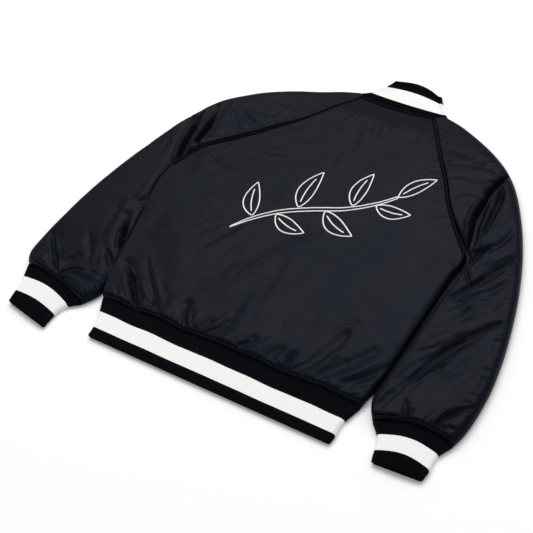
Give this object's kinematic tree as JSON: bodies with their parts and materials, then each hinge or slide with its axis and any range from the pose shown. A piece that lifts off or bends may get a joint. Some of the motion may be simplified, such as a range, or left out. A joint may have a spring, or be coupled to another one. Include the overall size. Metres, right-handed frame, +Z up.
{
  "type": "varsity jacket",
  "caption": "Satin raglan varsity jacket lying flat with its back up; striped rib-knit collar, cuffs and hem, snap front and an outlined leaf sprig stitched on the back.",
  "frame": {"origin": "on the surface the jacket lies on, under the middle of its bounding box", "axes": "+X across the jacket towards its right sleeve, +Y from the hem to the collar, +Z up, out of the back"},
  "size_m": [0.9922, 0.798, 0.0288],
  "materials": {
    "satin": "black wadded nylon satin with a soft sheen",
    "rib_knit": "matt black rib knit with one white stripe",
    "snap_metal": "black enamelled snap caps"
  },
  "bodies": {
    "root": {"back_panel": "satin", "front_left_panel": "satin", "front_right_panel": "satin", "sleeve_left_back": "satin", "sleeve_left_front": "satin", "sleeve_right_back": "satin", "sleeve_right_front": "satin", "hem_rib": "rib_knit", "collar_rib": "rib_knit", "cuff_left": "rib_knit", "cuff_right": "rib_knit", "snap_1": "snap_metal", "snap_2": "snap_metal", "snap_3": "snap_metal", "snap_4": "snap_metal", "snap_5": "snap_metal", "snap_6": "snap_metal", "snap_7": "snap_metal"}
  },
  "joints": []
}
